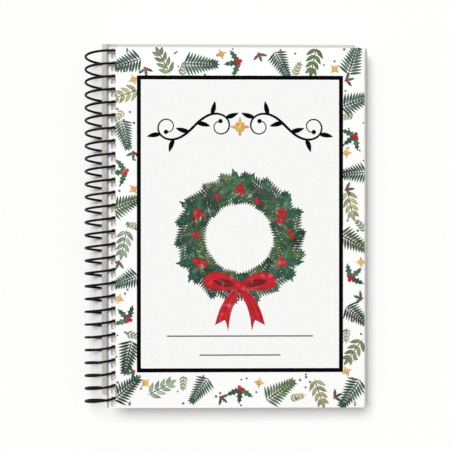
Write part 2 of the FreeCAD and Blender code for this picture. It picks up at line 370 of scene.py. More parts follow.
coil_low, coil_high = (np.array(corner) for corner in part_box("coil_binding"))
coil_axis = np.array(frame["joints"][0]["pos_m"])
coil_radius = (coil_high[0] - coil_low[0] - WIRE) / 2
turns = math.floor((coil_high[1] - coil_low[1]) / COIL_PITCH)
slope = COIL_PITCH / (math.tau * coil_radius)
coil_head = coil_high[1] - WIRE / 2 / math.hypot(1, slope)


def helix(angle):
    """Middle of the wire, its direction and its outward line: the sine and cosine of the angle give the
    circle, and the angle itself the way down the coil."""
    outward = np.stack([np.cos(angle - lean), np.zeros_like(angle), np.sin(angle - lean)], -1)
    onward = np.stack([-np.sin(angle - lean), np.full_like(angle, -slope), np.cos(angle - lean)], -1)
    onward /= math.hypot(1, slope)
    middle = coil_axis + coil_radius * outward
    middle[:, 1] = coil_head - COIL_PITCH * (angle + FIRST_TAIL) / math.tau
    return middle, onward, outward


print("coil:", turns, "turns, radius", round(coil_radius / MM, 3), "mm")

# %% [markdown]
# The wire itself is a circle carried along that path. Its cut ends could stay flat, as the solid's are, but
# the real ones are dipped with the coat and come out round. So the last circles shrink along a quarter
# circle and step outwards, which makes a half ball, and a small face closes it.

# %% Tube along the path
WIRE_SIDES = 16
RINGS_PER_TURN = 44
CAP_RINGS = 5
CAP_BEND = math.radians(85)


def round_tube(angle):
    """Circles of the wire's radius across the helix, drawn in to a half ball at both ends: there the radius
    goes as the cosine of a bend, and the step along the wire as its sine."""
    middle, onward, outward = helix(angle)
    beside = np.cross(onward, outward)
    bend = np.linspace(CAP_BEND, 0, CAP_RINGS)[:-1]
    width = np.concatenate([np.cos(bend), np.ones(len(angle)), np.cos(bend[::-1])]) * WIRE / 2
    reach = np.concatenate([-np.sin(bend), np.zeros(len(angle)), np.sin(bend[::-1])]) * WIRE / 2
    repeats = np.concatenate([[CAP_RINGS], np.ones(len(angle) - 2, int), [CAP_RINGS]])
    middle, outward, beside, onward = (np.repeat(x, repeats, 0) for x in (middle, outward, beside, onward))
    middle = middle + reach[:, None] * onward
    turn = np.linspace(0, math.tau, WIRE_SIDES, endpoint=False)
    circle = np.cos(turn)[:, None] * outward[:, None] + np.sin(turn)[:, None] * beside[:, None]
    return middle[:, None] + width[:, None, None] * circle


cap_angle = WIRE / 2 / coil_radius
last_angle = (turns - 1) * math.tau + LAST_TAIL
steps = round((last_angle + FIRST_TAIL) / math.tau * RINGS_PER_TURN)
wire_points = round_tube(np.linspace(cap_angle - FIRST_TAIL, last_angle - cap_angle, steps))
rings = len(wire_points)
wire_faces = grid_faces(rings, WIRE_SIDES, ring=True).tolist()
wire_faces.append(list(range(WIRE_SIDES))[::-1])
wire_faces.append(list(range((rings - 1) * WIRE_SIDES, rings * WIRE_SIDES)))
print("wire:", rings, "rings of", WIRE_SIDES)

# %% [markdown]
# The wire is steel under a coat of black nylon. Bare metal would mirror the white room and look grey, while
# nylon swallows most light and shines only softly. A fine noise for the marks of drawing breaks up the
# shine.

# %% Wire coat
COAT_BLACK = (0.006, 0.006, 0.0065)
COAT_SHINE, COAT_ROUGHNESS = 0.05, (0.28, 0.46)
MARK_SIZE, MARK_SHADE, MARK_DEPTH = 0.25 * MM, 0.4, 0.006 * MM


def make_wire_coat():
    """Black nylon over steel: almost no colour, and a soft shine that fine drawing marks break up."""
    material, tree, shader = new_material("wire_coat")
    shader.inputs["Specular IOR Level"].default_value = COAT_SHINE
    marks = add_noise(tree, MARK_SIZE, detail=5.0)
    tone = add_shade(tree, COAT_BLACK, add_around(tree, marks, 1, MARK_SHADE))
    finish(tree, shader, tone, add_range(tree, marks, *COAT_ROUGHNESS), marks, MARK_DEPTH)
    return material


coil_wire = make_piece(
    "coil_wire", wire_points, wire_faces, make_wire_coat(), "spine", smooth=True
)
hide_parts("coil_binding")
print("coil_wire stands for coil_binding,", len(wire_faces), "faces")

# %% [markdown]
# The picture side of the cover is a separate printed sheet, stuck on the card. Its cut edge stands just
# clear of the wire, where the coil rises out of the holes, and leaves a bare strip of card down the spine.
# A flat box would poke past the cover's rounded corners, so the sheet is a grid between two curves, its
# foot and its head, which turn in along a quarter circle at the fore edge.

# %% Printed sheet
SHEET_THICKNESS = 0.1 * MM
INK_RELIEF = 0.006 * MM
SHEET_TO_WIRE = 0.2 * MM
COVER_CORNER = 0.8 * MM
CORNER_POINTS = 7

leaf_axis = leaf_axes @ coil_axis
face_height = cover_high[2] - leaf_axis[2]
wire_reach = math.sqrt((coil_radius + WIRE / 2) ** 2 - face_height**2)
sheet_low = np.array([leaf_axis[0] + wire_reach + SHEET_TO_WIRE, cover_low[1]])
sheet_high = cover_high[:2]
sheet_top = cover_high[2] + SHEET_THICKNESS


def sheet_grid():
    """Columns across the sheet, and its foot and head at each: straight, then drawn in by
    r - sqrt(r^2 - d^2), d being how far a column is into the corner and r the corner's radius."""
    into_corner = COVER_CORNER * np.sin(np.linspace(0, math.pi / 2, CORNER_POINTS))
    column = np.concatenate([sheet_low[:1], sheet_high[0] - COVER_CORNER + into_corner])
    drop = np.concatenate([[0], COVER_CORNER - np.sqrt(COVER_CORNER**2 - into_corner**2)])
    return column, np.stack([sheet_low[1] + drop, sheet_high[1] - drop])


column, edges = sheet_grid()
sheet_points = on_leaf(column, edges, sheet_top)
print_paper = make_paper("print_paper", (0.90, 0.90, 0.893), roughness=0.45, relief=INK_RELIEF)
print_sheet = make_piece(
    "front_print_sheet", sheet_points, grid_faces(*edges.shape), print_paper, "front"
)
thicken(print_sheet, SHEET_THICKNESS)
print("printed sheet starts", round((sheet_low[0] - cover_low[0]) / MM, 2), "mm from the spine edge")

# %% [markdown]
# A watercolour print has no hard colours: pigment gathers at the rim of each brush stroke and lightens
# along its middle. A picture of strokes could be pasted on, but it would blur close by. Each stroke here is
# a small grid of points with a colour at every point. A stroke is a leaf, a disc or a line, and every motif
# is made of those three.

# %% Leaf, disc and line
STROKE_TIP = 0.03
PRONG_CUT = 0.5
ROOT_TONE, TIP_LOSS = 1.25, 0.5
RIM_LOSS = 0.45
RIB_TONE, RIB_WIDTH = 0.3, 0.2
DISC_RIM_LOSS = 0.35
GLINT_TONE, GLINT_SIZE, GLINT_PLACE = 0.9, 0.4, (-0.35, 0.35)


def tint(colour, shade):
    """A colour times a grid of shades."""
    return np.clip(np.asarray(colour) * shade[..., None], 0, 1)


def stroke_grid(rows, columns):
    """u along a stroke, from 0 to 1 over its rows, and v across it, from -1 to 1 over its columns."""
    return np.linspace(0, 1, rows)[:, None], np.linspace(-1, 1, columns)[None, :]


def leaf_stroke(length, width, colour, prongs=0, bend=0.0, rows=7, columns=5):
    """A leaf: u runs along its rib, bent by u squared, and v across it, to a half width that goes as the
    0.8th power of sin(pi u^0.8). Prongs are left where |sin(prongs pi u)|, which cuts it back, is 0."""
    u, v = stroke_grid(rows, columns)
    cut = 1 - PRONG_CUT * np.abs(np.sin(prongs * math.pi * u))
    half = width / 2 * np.maximum(np.sin(math.pi * u**0.8) ** 0.8 * cut, STROKE_TIP)
    points = np.stack([length * u + 0 * v, bend * length * u**2 - half * v], -1)
    shade = (ROOT_TONE - TIP_LOSS * u) * (1 - RIM_LOSS * v**4) + RIB_TONE * np.exp(-((v / RIB_WIDTH) ** 2))
    return points, tint(colour, shade)


def disc_stroke(radius, colour, cells=6):
    """A disc on a square grid: (a, b) goes to (a sqrt(1 - b^2/2), b sqrt(1 - a^2/2)), with no pole or seam.
    The upper left is lighter, as on a berry."""
    a, b = np.meshgrid(np.linspace(-1, 1, cells + 1), np.linspace(-1, 1, cells + 1))
    unit = np.stack([a * np.sqrt(1 - b**2 / 2), b * np.sqrt(1 - a**2 / 2)], -1)
    glint = np.exp(-(((unit - GLINT_PLACE) / GLINT_SIZE) ** 2).sum(-1))
    return radius * unit, tint(colour, 1 - DISC_RIM_LOSS * (unit**2).sum(-1) ** 2 + GLINT_TONE * glint)


def line_stroke(path, width, colour):
    """A line along a path of points: each point plus or minus half the width at right angles to the path."""
    ahead = np.gradient(path, axis=0)
    ahead /= np.linalg.norm(ahead, axis=1, keepdims=True)
    right = np.stack([ahead[:, 1], -ahead[:, 0]], -1)
    v = np.array([-0.5, 0.5])[None, :, None]
    points = path[:, None] + v * np.broadcast_to(width, len(path))[:, None, None] * right[:, None]
    return points, tint(colour, np.ones(points.shape[:2]))


def moved(strokes, place, turn=0.0):
    """Strokes turned about their root and carried to a place."""
    matrix = np.array([[math.cos(turn), math.sin(turn)], [-math.sin(turn), math.cos(turn)]])
    return [(points @ matrix + place, colours) for points, colours in strokes]


print("grid of a plain leaf:", leaf_stroke(1, 1, (1, 1, 1))[0].shape[:2])

# %% [markdown]
# On paper, pigment pools in some places and thins out in others, so that the sheet shows through. Both
# could be drawn stroke by stroke, but they run across strokes on a real sheet, so the material adds them as
# two slow noises over the strokes' own colours. Plain printing ink has neither, only the fibres just
# showing in it.

# %% Watercolour and ink
POOL, POOL_SHADE = 4 * MM, 0.5
THIN, THIN_RANGE = 3.5 * MM, (-0.5, 0.36)
BARE_PAPER = (0.9, 0.9, 0.88, 1)
PIGMENT_SHINE, PIGMENT_ROUGHNESS = 0.12, (0.42, 0.58)
INK_SHINE, INK_ROUGHNESS, INK_SHADE = 0.01, (0.38, 0.55), 0.06


def make_watercolour():
    """Pigment: the stroke's own colour times a blotchy wash, thinned to the paper in places."""
    material, tree, shader = new_material("watercolour")
    shader.inputs["Specular IOR Level"].default_value = PIGMENT_SHINE
    pigment = tree.nodes.new("ShaderNodeVertexColor")
    pigment.layer_name = "ink"
    wash = add_around(tree, add_noise(tree, POOL, detail=3.0), 1, POOL_SHADE)
    thinness = add_range(tree, add_noise(tree, THIN, detail=2.0), *THIN_RANGE)
    tone = add_mix(tree, thinness, add_shade(tree, pigment.outputs["Color"], wash), BARE_PAPER)
    fibres = add_fibres(tree)
    finish(tree, shader, tone, add_range(tree, fibres, *PIGMENT_ROUGHNESS), fibres, INK_RELIEF)
    return material


def make_ink(name, colour):
    """Printed ink, one tone with the paper's fibres just showing in it."""
    material, tree, shader = new_material(name)
    shader.inputs["Specular IOR Level"].default_value = INK_SHINE
    fibres = add_fibres(tree)
    tone = add_shade(tree, colour, add_around(tree, fibres, 1, INK_SHADE))
    finish(tree, shader, tone, add_range(tree, fibres, *INK_ROUGHNESS), fibres, INK_RELIEF)
    return material


watercolour = make_watercolour()
black_ink = make_ink("black_ink", (0.0015, 0.0015, 0.0015))
panel_tone = make_ink("panel_tone", (0.89, 0.89, 0.885))
mat_white = make_ink("mat_white", (0.93, 0.93, 0.925))
print("inks:", [ink.name for ink in (watercolour, black_ink, panel_tone, mat_white)])

# %% [markdown]
# Strokes overlap, and two faces in one plane flicker where they do. Each stroke could be cut round the
# next, which is a lot of work for what a hair of height does as well: a stroke lies half a micrometre or so
# above the one before it, and motifs take turns on a few levels. All strokes of one kind make one mesh,
# thickened downwards into the sheet.

# %% Lay the strokes
INK_THICKNESS = 0.05 * MM
INK_STEP = 0.0006 * MM
LEVEL_STROKES = 26
INK_LEVELS = 3
INK_STACK = INK_LEVELS * LEVEL_STROKES * INK_STEP


def lay_strokes(name, motifs, height, material, body="front"):
    """One mesh of the strokes of many motifs: height, plus one step for each stroke before it on its level,
    and for each level below."""
    points, colours, faces, first = [], [], [], 0
    for number, motif in enumerate(motifs):
        for order, (flat, tints) in enumerate(motif):
            lift = height + (number % INK_LEVELS * LEVEL_STROKES + order) * INK_STEP
            points.append(on_leaf(flat[..., 0], flat[..., 1], lift).reshape(-1, 3))
            colours.append(tints.reshape(-1, 3))
            faces.append(first + grid_faces(*flat.shape[:2]))
            first += len(points[-1])
    points, colours, faces = (np.concatenate(parts) for parts in (points, colours, faces))
    piece = make_piece(name, points, faces, material, body, colours)
    thicken(piece, INK_THICKNESS)
    print(name, len(motifs), "motifs,", len(faces), "faces")
    return piece


ink_height = sheet_top + INK_STEP
print("ink stack:", round(INK_STACK / MM, 4), "mm")

# %% [markdown]
# The border's motifs are winter greenery of the plainest kind, and most of it is sprigs: a twig with
# needles or leaves in pairs, which lean forward and shorten towards its tip. Fir and bay could each have a
# function, but they differ only in proportions, so one function draws both from a short list, as shares of
# the sprig's length. Each sprig takes its green from a few, so neighbours differ as when a brush is dipped
# again.

# %% Sprigs
draw = np.random.default_rng(12)
FIR_GREENS = [(0.016, 0.055, 0.03), (0.03, 0.09, 0.055), (0.055, 0.11, 0.04)]
BAY_GREENS = [(0.20, 0.27, 0.13), (0.36, 0.37, 0.17), (0.25, 0.34, 0.24), (0.12, 0.20, 0.08)]
TWIG_BROWN = (0.10, 0.022, 0.018)
PICK_TONES = (0.8, 1.25)
FIR = dict(
    greens=FIR_GREENS, tones=(0.6, 1.5), twig=0.045, roots=np.linspace(0.06, 0.92, 11), reach=(0.42, 0.16),
    lean=(62, 36), width=0.075, bend=0.1, tip_root=0.86, tip_reach=0.24, grid=(5, 3),
)
BAY = dict(
    greens=BAY_GREENS, tones=(0.75, 1.3), twig=0.035, roots=np.linspace(0.12, 0.7, 4), reach=(0.38, 0.24),
    lean=(58, 42), width=0.125, bend=-0.15, tip_root=0.7, tip_reach=0.34, grid=(7, 5),
)


def pick(colours):
    """One of some colours, a little lighter or darker."""
    return np.array(colours[draw.integers(len(colours))]) * draw.uniform(*PICK_TONES)


def sprig(length, kind):
    """A twig with a leaf to either side at each root, and one at its tip: a leaf's reach and its lean go
    evenly from their values at the twig's foot to those at its end."""
    green = pick(kind["greens"])
    strokes = [leaf_stroke(length, kind["twig"] * length, TWIG_BROWN, columns=3)]
    width, (rows, columns) = kind["width"] * length, kind["grid"]
    for root in kind["roots"]:
        reach, turn = (np.interp(root, (0, 1), kind[way]) for way in ("reach", "lean"))
        for side in (-1, 1):
            tone = green * draw.uniform(*kind["tones"])
            leaf = leaf_stroke(reach * length, width, tone, 0, kind["bend"] * side, rows, columns)
            strokes += moved([leaf], (root * length, 0), side * math.radians(turn))
    tip = leaf_stroke(kind["tip_reach"] * length, width, green, rows=rows, columns=columns)
    strokes += moved([tip], (kind["tip_root"] * length, 0))
    return moved(strokes, (-length / 2, 0))


def fir_sprig(length):
    """A sprig of fir, with its middle at the origin."""
    return sprig(length, FIR)


def bay_sprig(length):
    """A sprig of bay, with its middle at the origin."""
    return sprig(length, BAY)


print("strokes in a fir sprig:", 2 * len(FIR["roots"]) + 2, "and in a bay sprig:", 2 * len(BAY["roots"]) + 2)

# %% [markdown]
# Between the sprigs lie holly with its berries, gold stars and small grey specks. These could be cut from
# outlines drawn by hand, but the three strokes are enough: holly is three pronged leaves and three discs, a
# star is eight narrow leaves, long and short in turn, and a speck is a disc.

# %% Holly, stars and specks
HOLLY_GREENS = [(0.014, 0.08, 0.045), (0.035, 0.12, 0.055)]
HOLLY_WIDTH, HOLLY_PRONGS, HOLLY_TURNS = 0.5, 4, (-62, 62, 0)
BERRY_RED = (0.42, 0.012, 0.02)
BERRY_SHARE, BERRY_SPREAD, BERRY_TURNS = 0.13, 1.05, (90, 210, 330)
GOLD = (0.68, 0.39, 0.08)
STAR_POINTS, SHORT_POINT, POINT_WIDTH, POINT_TONES = 8, 0.62, 0.34, (0.85, 1.15)
SPECKLE_GREY = (0.16, 0.17, 0.17)
SPECK_RADII = (0.45 * MM, 0.7 * MM)


def holly(length):
    """Three pronged leaves that spread from three berries."""
    strokes = []
    for turn in HOLLY_TURNS:
        green = pick(HOLLY_GREENS)
        leaf = leaf_stroke(length, HOLLY_WIDTH * length, green, HOLLY_PRONGS, rows=25, columns=7)
        strokes += moved([leaf], (0, 0), math.radians(turn))
    berry = BERRY_SHARE * length
    for turn in np.radians(BERRY_TURNS):
        place = BERRY_SPREAD * berry * np.array([math.cos(turn), math.sin(turn)])
        strokes += moved([disc_stroke(berry, BERRY_RED)], place)
    return strokes


def star(radius):
    """Eight points round a turn, long and short in turn."""
    strokes = []
    for point in range(STAR_POINTS):
        reach = radius * (SHORT_POINT if point % 2 else 1)
        tone = np.array(GOLD) * draw.uniform(*POINT_TONES)
        ray = leaf_stroke(reach, POINT_WIDTH * radius, tone, columns=3)
        strokes += moved([ray], (0, 0), point * math.tau / STAR_POINTS)
    return strokes


def specks(count, low, high, bare_low, bare_high):
    """Small grey specks anywhere between two corners, but not between the two that stay bare."""
    place = draw.uniform(low, high, (count, 2))
    shown = place[~np.all((place > bare_low) & (place < bare_high), 1)]
    return [moved([disc_stroke(draw.uniform(*SPECK_RADII), SPECKLE_GREY, 4)], at) for at in shown]


print("motifs: holly in", len(HOLLY_GREENS), "greens, stars with", STAR_POINTS, "points")

# %% [markdown]
# The border is cut from a tossed print, the kind that has no up or down. A repeat could be tiled over the
# sheet, but most of it would lie under the panel. So sprigs are spaced along the middle of the border and
# turned every way, small motifs fill the gaps between them, and specks fall anywhere.

# %% Motifs of the border
FRAME_LEFT_PX, FRAME_RIGHT_PX = 137.0, 343.2
FRAME_TOP_PX, FRAME_FOOT_PX = 75.6, 372.2
SPRIG_STEP = 18.5 * MM
SPRIG_STRAY = 1.8 * MM
FILLER_STRAY = 3.6 * MM
SPECKS = 300
LARGE_MOTIFS = [(fir_sprig, 17 * MM), (bay_sprig, 16 * MM), (fir_sprig, 15 * MM), (holly, 7.5 * MM)]
SMALL_MOTIFS = [(star, 2.8 * MM), (bay_sprig, 8 * MM), (holly, 4.2 * MM)]

frame_low = np.array([across_at(FRAME_LEFT_PX), along_at(FRAME_FOOT_PX)])
frame_high = np.array([across_at(FRAME_RIGHT_PX), along_at(FRAME_TOP_PX)])


def rectangle(low, high):
    """The four corners of a rectangle, from its lowest and round it."""
    return np.array([[low[0], low[1]], [high[0], low[1]], [high[0], high[1]], [low[0], high[1]]])


def border_side(start, end):
    """Motifs along one side of the border: small ones halfway between the places of the large ones."""
    side = end - start
    count = round(np.linalg.norm(side) / SPRIG_STEP)
    beside = np.array([-side[1], side[0]]) / np.linalg.norm(side)
    motifs = []
    for number in range(count):
        grow, size = LARGE_MOTIFS[number % len(LARGE_MOTIFS)]
        place = start + side * number / count + draw.uniform(-1, 1, 2) * SPRIG_STRAY
        motifs.append(moved(grow(size), place, draw.uniform(0, math.tau)))
        grow, size = SMALL_MOTIFS[number % len(SMALL_MOTIFS)]
        place = start + side * (number + 0.5) / count + beside * FILLER_STRAY * draw.choice([-1, 1])
        motifs.append(moved(grow(size), place, draw.uniform(0, math.tau)))
    return motifs


corners = rectangle((sheet_low + frame_low) / 2, (sheet_high + frame_high) / 2)
border = specks(SPECKS, sheet_low, sheet_high, frame_low, frame_high)
for start, end in zip(corners, np.roll(corners, -1, 0)):
    border += border_side(start, end)
front_border = lay_strokes("front_print_border", border, ink_height, watercolour)

# %% [markdown]
# Sprigs that reach past the sheet are trimmed off, as a guillotine does it. A boolean cut with a box would
# do, but it is slow on thin overlapping strokes, while a plane through flat faces is quick and exact. Four
# planes follow the sheet's edges, and two more cut across the rounded corners.

# %% Trim the border
def trim(piece):
    """Cuts a print along planes, each an outward direction and its distance, and drops what is beyond. A
    plane across a corner touches its circle, so it lies r (sqrt 2 - 1) inside the square corner."""
    inside_corner = COVER_CORNER * (math.sqrt(2) - 1)
    spine, fore = (-across, -sheet_low[0]), (across, sheet_high[0])
    foot, head = (-along, -sheet_low[1]), (along, sheet_high[1])
    cuts = [spine, fore, foot, head]
    for side, edge in (head, foot):
        cuts.append(((across + side) / math.sqrt(2), (sheet_high[0] + edge) / math.sqrt(2) - inside_corner))
    cutter = bmesh.new()
    cutter.from_mesh(piece.data)
    for outward, distance in cuts:
        parts = cutter.verts[:] + cutter.edges[:] + cutter.faces[:]
        bmesh.ops.bisect_plane(
            cutter, geom=parts, plane_co=outward * distance, plane_no=outward, clear_outer=True
        )
    cutter.to_mesh(piece.data)
    cutter.free()


trim(front_border)
print("border after trimming:", len(front_border.data.polygons), "faces")

# %% [markdown]
# The frame is a white mat, a pale panel and a black line. They could be painted into the border's material,
# but as plates of ink their edges stay straight and sharp. Each is a rectangle, or a ring between a
# rectangle and a smaller one, laid a hair above the border's ink so that it covers what runs under it.

# %% Frame and panel
FRAME_LINE = 2.0 * MM
MAT_LINE = 0.5 * MM
PANEL_LIFT = 0.01 * MM
PLATE_STEP = 0.012 * MM


def lay_plate(name, inset, height, material):
    """A flat rectangle of ink, inset from the frame's outside."""
    corners = rectangle(frame_low + inset, frame_high - inset)
    flat = np.stack([corners[:2], corners[:1:-1]])
    points = on_leaf(flat[..., 0], flat[..., 1], height)
    thicken(make_piece(name, points, grid_faces(2, 2), material, "front"), INK_THICKNESS)


def lay_ring(name, low, high, line, height, material, body="front"):
    """A frame line: the corners of a rectangle, and the same corners drawn in by the line's width."""
    flat = np.stack([rectangle(low, high), rectangle(low + line, high - line)])
    points = on_leaf(flat[..., 0], flat[..., 1], height)
    thicken(make_piece(name, points, grid_faces(2, 4, ring=True), material, body), INK_THICKNESS)


mat_height = ink_height + INK_STACK + PANEL_LIFT
panel_height = mat_height + PLATE_STEP
picture_height = panel_height + PLATE_STEP
lay_plate("front_print_mat", FRAME_LINE / 2, mat_height, mat_white)
lay_plate("front_print_panel", FRAME_LINE + MAT_LINE, panel_height, panel_tone)
lay_ring("front_print_frame", frame_low, frame_high, FRAME_LINE, panel_height, black_ink)
print("frame, mm:", np.round((frame_high - frame_low) / MM, 1))

# %% [markdown]
# In the middle hangs a wreath, a plain old winter ornament. A ring of green with needles round its rims
# would do from far off. Laid the way a real one is bound, it holds up close by as well: fir sprigs, with a
# little bay, nose to tail round a circle in three rows that lean in, straight on and out.

# %% Wreath
PICTURE_MIDDLE_PX = (240.0, 238.0)
WREATH_RADIUS = 24 * MM
WREATH_SPRIGS = 54
WREATH_ROW = 3.2 * MM
WREATH_LEAN = math.radians(26)
WREATH_STRAY = 0.12
WREATH_SIZES = (14 * MM, 17 * MM)
BAY_FIRST, BAY_EVERY = 4, 9

picture_middle = np.array([across_at(PICTURE_MIDDLE_PX[0]), along_at(PICTURE_MIDDLE_PX[1])])


def on_circle(radius, angle):
    """Where a circle round the picture's middle has this angle."""
    return picture_middle + radius * np.array([math.cos(angle), math.sin(angle)])


def wreath():
    """Sprigs round a circle: one in three leans in, the next lies straight on, and the next leans out."""
    motifs = []
    for number in range(WREATH_SPRIGS):
        angle = number * math.tau / WREATH_SPRIGS
        row = number % 3 - 1
        turn = angle + math.pi / 2 - row * WREATH_LEAN + draw.uniform(-WREATH_STRAY, WREATH_STRAY)
        grow = bay_sprig if number % BAY_EVERY == BAY_FIRST else fir_sprig
        place = on_circle(WREATH_RADIUS + row * WREATH_ROW, angle)
        motifs.append(moved(grow(draw.uniform(*WREATH_SIZES)), place, turn))
    return motifs


lay_strokes("front_print_wreath", wreath(), picture_height, watercolour)

# %% [markdown]
# Berries are pushed into a wreath last, so they lie on top. They could be part of the wreath's mesh, but
# then later sprigs would hide some, so they are a piece of their own on the next level: holly at five of
# six places round the circle, the bow having the sixth, and pairs of berries between.

# %% Berries of the wreath
HOLLY_PLACES = np.radians(np.arange(-30, 270, 60))
HOLLY_SIZE = 11 * MM
HOLLY_STRAY = 0.6
PAIR_PLACES = np.radians(np.arange(-60, 270, 30))
PAIR_ROWS = 1.4
PAIR_RADII = (1.0 * MM, 1.4 * MM)
PAIR_APART = np.array([[0], [1.4 * MM]])


def wreath_berries():
    """Holly and pairs of berries: the second of a pair lies off the first by a normal spread."""
    motifs = []
    for angle in HOLLY_PLACES:
        bunch = holly(HOLLY_SIZE)
        turn = angle + draw.uniform(-HOLLY_STRAY, HOLLY_STRAY)
        motifs.append(moved(bunch, on_circle(WREATH_RADIUS, angle), turn))
    for angle in PAIR_PLACES + draw.uniform(-WREATH_STRAY, WREATH_STRAY, len(PAIR_PLACES)):
        middle = on_circle(WREATH_RADIUS + draw.uniform(-PAIR_ROWS, PAIR_ROWS) * WREATH_ROW, angle)
        berry = disc_stroke(draw.uniform(*PAIR_RADII), BERRY_RED)
        pair = middle + PAIR_APART * draw.normal(size=(2, 2))
        motifs.append(moved([berry], pair[0]) + moved([berry], pair[1]))
    return motifs


berry_height = picture_height + INK_STACK
lay_strokes("front_print_berries", wreath_berries(), berry_height, watercolour)

# %% [markdown]
# At the wreath's foot is a red ribbon, tied flat. A simulated ribbon would fold by itself, but this one is
# printed, so its folds are only shades. A tail and a loop are grids along the ribbon, with folds that run
# out from the knot as a cosine across it, and a dark patch where the knot draws them in.

# %% Ribbon
RIBBON_RED = (0.55, 0.012, 0.022)
TAIL_GRID, LOOP_GRID = (15, 9), (19, 11)
TAIL_CUT = 0.2
TAIL_TONE, TAIL_FOLD, TAIL_KNOT = 0.85, 0.3, (0.4, 0.12)
LOOP_TONE, LOOP_FOLD, LOOP_KNOT = 0.95, 0.25, (0.45, 0.15)
LOOP_RIM_LOSS = 0.3
LOOP_ROOT = 0.12


def knot_shadow(u, depth, reach):
    """A shade that fades away from the knot as exp(-(u / reach)^2)."""
    return depth * np.exp(-((u / reach) ** 2))


def ribbon_tail(length, width, bend):
    """A ribbon that widens from the knot: u along it, v across, bent as sin(pi u). Its end is cut back in the
    middle, by u to the sixth power, to a swallow tail."""
    u, v = stroke_grid(*TAIL_GRID)
    reach = length * (u - TAIL_CUT * u**6 * (1 - np.abs(v)))
    points = np.stack([reach, bend * length * np.sin(math.pi * u) - width / 4 * (1 + u) * v], -1)
    folds = TAIL_FOLD * np.cos(2.5 * math.pi * v + 3 * u) * (1 - u / 2)
    return points, tint(RIBBON_RED, TAIL_TONE + folds - knot_shadow(u, *TAIL_KNOT))


def ribbon_loop(length, width, bend):
    """A loop seen from the side, bent by u squared: its half width grows as the root of u from the knot, and
    closes at its end as the root of 1 less a fourth power. Its rims darken as v to the fourth power."""
    u, v = stroke_grid(*LOOP_GRID)
    closing = np.sqrt(np.clip(1 - (1.25 * u**0.7 - 0.25) ** 4, 0, 1))
    half = width / 2 * np.maximum(closing * np.sqrt(u), LOOP_ROOT * (1 - u) + STROKE_TIP)
    points = np.stack([length * u + 0 * v, bend * length * u**2 - half * v], -1)
    folds = LOOP_FOLD * np.cos(3 * math.pi * v) * (1 - u) - LOOP_RIM_LOSS * v**4
    return points, tint(RIBBON_RED, LOOP_TONE + folds - knot_shadow(u, *LOOP_KNOT))


print("grid of a tail:", ribbon_tail(1, 1, 0)[0].shape[:2], "of a loop:", ribbon_loop(1, 1, 0)[0].shape[:2])

# %% [markdown]
# A bow is tied back to front: the tails hang behind, the loops lie over them, and the knot holds all. Each
# part could be a piece of its own, but the strokes of one motif already lie in the order that they are
# laid. The inside of a loop is a narrow dark leaf. All lengths are shares of the span.

# %% Bow on the wreath
BOW_SPAN = 36 * MM
DEEP_RED = (0.14, 0.008, 0.012)
TAIL_LENGTH, TAIL_WIDTH, TAIL_BEND, TAIL_TURN = 0.62, 0.2, 0.08, 24
LOOP_LENGTH, LOOP_WIDTH, LOOP_BEND, LOOP_TURN = 0.5, 0.36, -0.12, 72
INSIDE_LENGTH, INSIDE_WIDTH, INSIDE_BEND = 0.3, 0.1, -0.1
INSIDE_PLACE = (0.08, 0.015)
KNOT_RADIUS, KNOT_TONE = 0.075, 0.85


def bow(span):
    """Two tails, two loops with their shaded insides, and a knot."""
    strokes = []
    for side in (-1, 1):
        tail = ribbon_tail(TAIL_LENGTH * span, TAIL_WIDTH * span, TAIL_BEND * side)
        strokes += moved([tail], (0, 0), math.radians(TAIL_TURN * side - 90))
    for side in (-1, 1):
        turn = math.radians(90 - LOOP_TURN * side)
        loop = ribbon_loop(LOOP_LENGTH * span, LOOP_WIDTH * span, LOOP_BEND * side)
        strokes += moved([loop], (0, 0), turn)
        inside = leaf_stroke(INSIDE_LENGTH * span, INSIDE_WIDTH * span, DEEP_RED, 0, INSIDE_BEND * side, 9)
        strokes += moved([inside], (INSIDE_PLACE[0] * span * side, INSIDE_PLACE[1] * span), turn)
    return strokes + [disc_stroke(KNOT_RADIUS * span, KNOT_TONE * np.array(RIBBON_RED), 8)]


bow_motif = moved(bow(BOW_SPAN), on_circle(WREATH_RADIUS, -math.pi / 2))
lay_strokes("front_print_bow", [bow_motif], berry_height + INK_STACK, watercolour)

# %% [markdown]
# Above the wreath the panel carries a pair of pen scrolls. They could be drawn as curves through points
# chosen by eye, but a pen's curl tightens evenly, which is what a Cornu spiral does: its heading goes as
# the square of the distance along it. Its width swells in the middle and thins to the ends, as a broad
# pen's stroke does, and small leaves spring from it in turn on either side, which makes it a vine.

# %% Vine scrolls
SCROLL_SIZE = 18.5 * MM
SCROLL_ENDS = 2.15
SCROLL_POINTS = 161
PEN_THIN, PEN_SWELL = 0.5 * MM, 0.75 * MM
PEN_BALL = 1.1 * MM
PEN_BLACK = (0.004, 0.004, 0.004)
VINE_LEAVES = ((-1.0, -48), (-0.6, -48), (-0.15, 44), (0.15, 44), (0.6, -48), (1.0, -48))
VINE_LEAF = (0.36 * SCROLL_SIZE, 0.13 * SCROLL_SIZE)
VINE_BEND = 0.2


